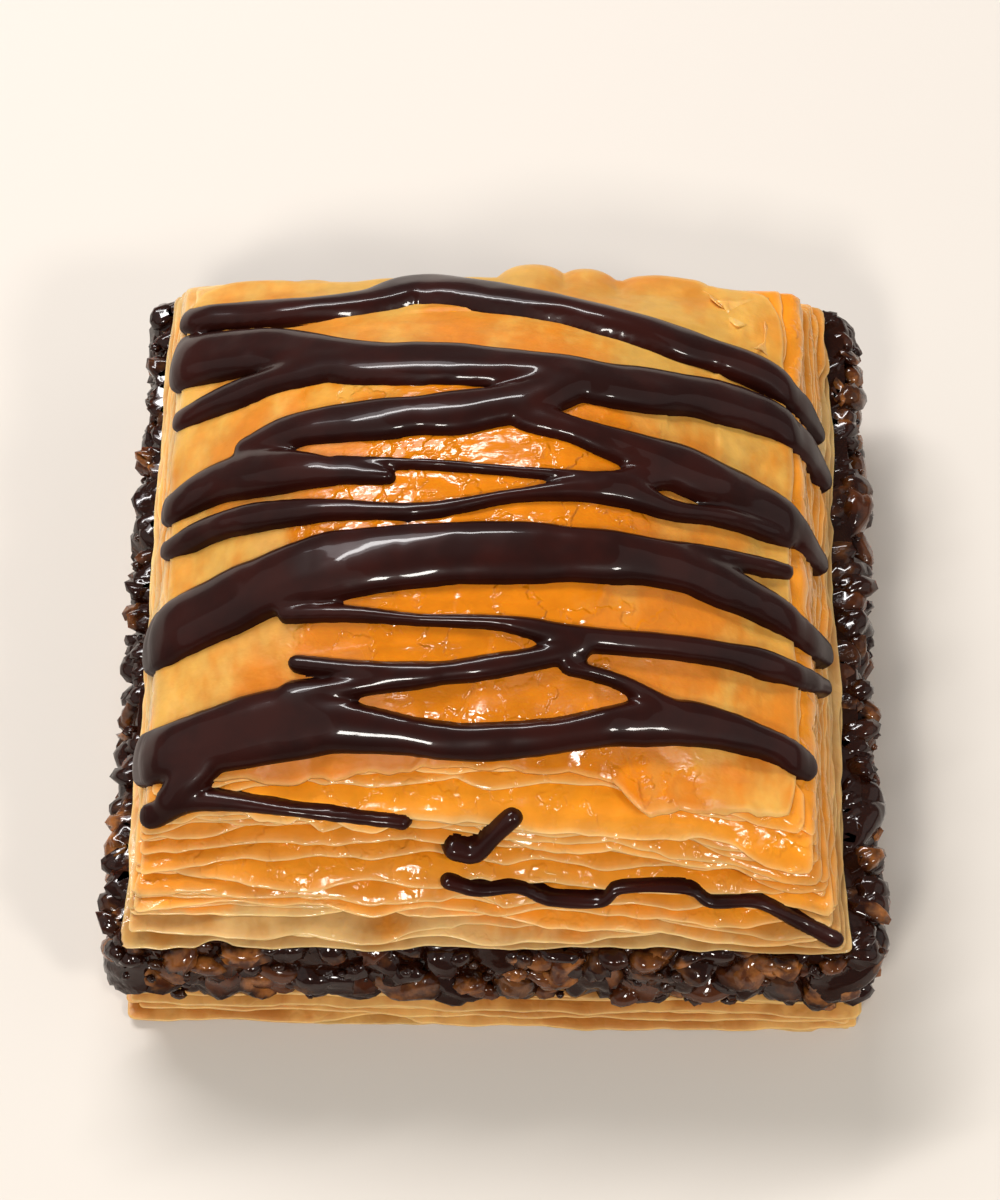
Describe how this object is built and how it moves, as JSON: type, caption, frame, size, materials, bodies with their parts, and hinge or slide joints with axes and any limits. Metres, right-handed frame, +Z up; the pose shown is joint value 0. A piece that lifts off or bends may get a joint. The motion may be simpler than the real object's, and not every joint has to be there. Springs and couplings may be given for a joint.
{
  "type": "baklava piece",
  "caption": "Square pastry piece with flaky leaves above and below a chopped nut filling, a puffed glazed crown and dark drizzle; it rests flat.",
  "frame": {"origin": "centre of the piece in plan, on the flat underside that it rests on", "axes": "+Z up; +X to the piece's right and -Y to its front, the side whose leaves step back furthest"},
  "size_m": [0.073, 0.075, 0.0413],
  "materials": {
    "baked_leaves": "baked leaves of pastry, satin, with amber corners where syrup has soaked in",
    "nut_filling": "chopped nuts bound in dark glossy syrup",
    "glazed_leaves": "orange glazed leaves paling to tan at the edges, under glossy dark chocolate"
  },
  "bodies": {
    "root": {"base_leaves": "baked_leaves", "nut_filling": "nut_filling", "top_leaves": "glazed_leaves"}
  },
  "joints": []
}
